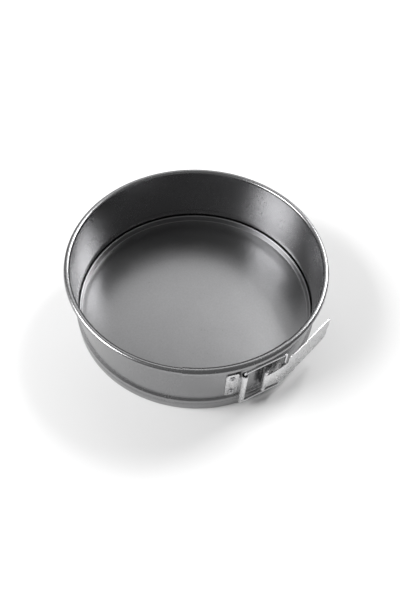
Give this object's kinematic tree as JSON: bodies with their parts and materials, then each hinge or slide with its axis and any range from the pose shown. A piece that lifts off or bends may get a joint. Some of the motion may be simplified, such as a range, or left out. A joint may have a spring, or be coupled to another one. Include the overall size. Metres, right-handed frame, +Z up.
{
  "type": "springform pan",
  "caption": "Round springform baking pan: a sheet steel ring with a lever clasp that opens it, and a loose rimmed base plate held in the ring's foot groove.",
  "frame": {"origin": "centre of the underside, where the base plate stands on the table", "axes": "+Z up out of the pan, -Y towards the clasp, +X to the right seen from the clasp"},
  "size_m": [0.2398, 0.2429, 0.0706],
  "materials": {
    "nonstick_coating": "satin dark grey non-stick coating on steel",
    "nonstick_base": "satin dark grey non-stick coating on steel, finely speckled",
    "plated_steel": "bright plated steel sheet, satin",
    "rivet_steel": "plated steel",
    "plated_wire": "bright plated steel wire"
  },
  "bodies": {
    "ring_back": {"band_back": "nonstick_coating"},
    "ring_left": {"band_left": "nonstick_coating", "anchor_plate": "plated_steel", "anchor_rivets": "rivet_steel"},
    "ring_right": {"band_right": "nonstick_coating", "lever_bracket": "plated_steel", "bracket_rivets": "rivet_steel", "fulcrum_pin": "rivet_steel"},
    "ring_tongue": {"band_tongue": "nonstick_coating"},
    "clasp_lever": {"lever": "plated_steel"},
    "clasp_bail": {"wire_bail": "plated_wire"},
    "base": {"base_plate": "nonstick_base"}
  },
  "joints": [
    {"name": "lever_swing", "type": "hinge", "parent": "ring_right", "child": "clasp_lever", "pos_m": [0.0057, -0.12097, 0.03425], "axis": [0, 0, -1], "range_deg": [0, 105]},
    {"name": "bail_swing", "type": "hinge", "parent": "clasp_lever", "child": "clasp_bail", "pos_m": [0.02518, -0.11845, 0.029], "axis": [0, 0, 1], "range_deg": [0, 68.74]},
    {"name": "left_side_spread", "type": "hinge", "parent": "ring_back", "child": "ring_left", "pos_m": [-0.0992, 0.05727, 0.035], "axis": [0, 0, -1], "range_deg": [0, 2.48]},
    {"name": "right_side_spread", "type": "hinge", "parent": "ring_back", "child": "ring_right", "pos_m": [0.0992, 0.05727, 0.035], "axis": [0, 0, 1], "range_deg": [0, 2.48]},
    {"name": "tongue_flex", "type": "hinge", "parent": "ring_right", "child": "ring_tongue", "pos_m": [-0.00737, -0.11431, 0.035], "axis": [0, 0, 1], "range_deg": [0, 2.57], "deforming": ["band_tongue"]},
    {"name": "base_lift", "type": "slide", "parent": "ring_back", "child": "base", "axis": [0, 0, 1], "range_m": [0, 0.007]}
  ],
  "couplings": [
    {"joint": "bail_swing", "follows": "lever_swing", "ratio": 0.6528},
    {"joint": "left_side_spread", "follows": "lever_swing", "ratio": 0.023154},
    {"joint": "right_side_spread", "follows": "lever_swing", "ratio": 0.023154},
    {"joint": "tongue_flex", "follows": "lever_swing", "ratio": 0.024}
  ]
}
